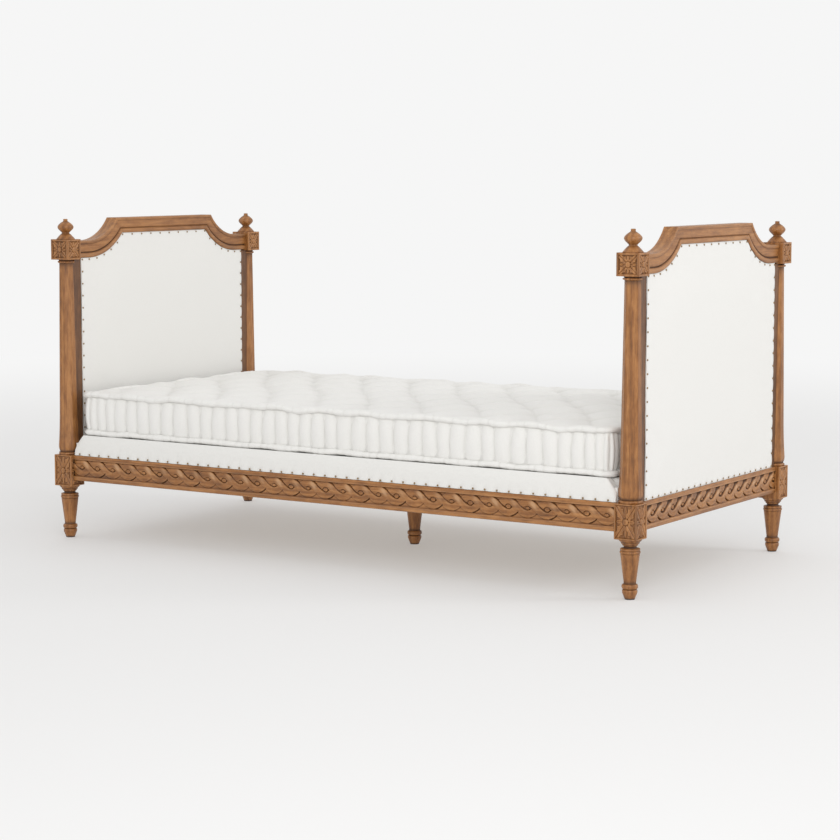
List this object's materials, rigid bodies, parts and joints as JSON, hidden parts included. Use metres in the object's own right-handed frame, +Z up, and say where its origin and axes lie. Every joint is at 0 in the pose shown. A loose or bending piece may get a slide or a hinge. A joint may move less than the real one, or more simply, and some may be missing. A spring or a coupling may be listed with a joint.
{
  "type": "daybed",
  "caption": "Daybed with carved posts and rails, matching upholstered head and foot panels with nailhead trim, a slatted deck and a tufted mattress.",
  "frame": {"origin": "on the floor under the middle of the bed", "axes": "+X from the headboard to the footboard, +Y to the back, +Z up"},
  "size_m": [2.0828, 1.016, 1.016],
  "materials": {
    "carved_wood": "carved hardwood, warm honey brown, satin with darkened recesses",
    "hidden_wood": "plain sawn softwood and plywood",
    "linen": "off-white linen over thin foam",
    "mattress_cloth": "off-white cotton ticking, stitched and tufted",
    "nail_brass": "aged brass upholstery nails",
    "zinc_steel": "zinc-plated steel",
    "glide_plastic": "dark nylon glides"
  },
  "bodies": {
    "frame": {"post_head_front": "carved_wood", "finial_head_front": "carved_wood", "stile_head_front": "carved_wood", "post_head_back": "carved_wood", "finial_head_back": "carved_wood", "stile_head_back": "carved_wood", "crest_rail_head": "carved_wood", "end_rail_head": "carved_wood", "panel_board_head": "hidden_wood", "inner_pad_head": "linen", "outer_pad_head": "linen", "panel_nails_head": "nail_brass", "post_foot_front": "carved_wood", "finial_foot_front": "carved_wood", "stile_foot_front": "carved_wood", "post_foot_back": "carved_wood", "finial_foot_back": "carved_wood", "stile_foot_back": "carved_wood", "crest_rail_foot": "carved_wood", "end_rail_foot": "carved_wood", "panel_board_foot": "hidden_wood", "inner_pad_foot": "linen", "outer_pad_foot": "linen", "panel_nails_foot": "nail_brass", "side_rail_front": "carved_wood", "band_board_front": "hidden_wood", "band_pad_front": "linen", "band_nails_front": "nail_brass", "slat_cleat_front": "hidden_wood", "side_rail_back": "carved_wood", "band_board_back": "hidden_wood", "band_pad_back": "linen", "band_nails_back": "nail_brass", "slat_cleat_back": "hidden_wood", "rail_hook_plates": "zinc_steel", "post_slot_plates": "zinc_steel", "hook_plate_screws": "zinc_steel", "beam_brackets": "zinc_steel", "leg_plate": "zinc_steel", "leg_plate_screws": "zinc_steel", "leg_hanger_bolt": "zinc_steel", "slat_screws": "zinc_steel", "foot_glides": "glide_plastic", "centre_beam": "hidden_wood", "centre_leg": "carved_wood", "slats": "hidden_wood", "deck_pad": "linen"},
    "mattress": {"mattress": "mattress_cloth"}
  },
  "joints": [
    {"name": "mattress_lift", "type": "slide", "parent": "frame", "child": "mattress", "axis": [0, 0, 1], "range_m": [0, 0.7]}
  ]
}
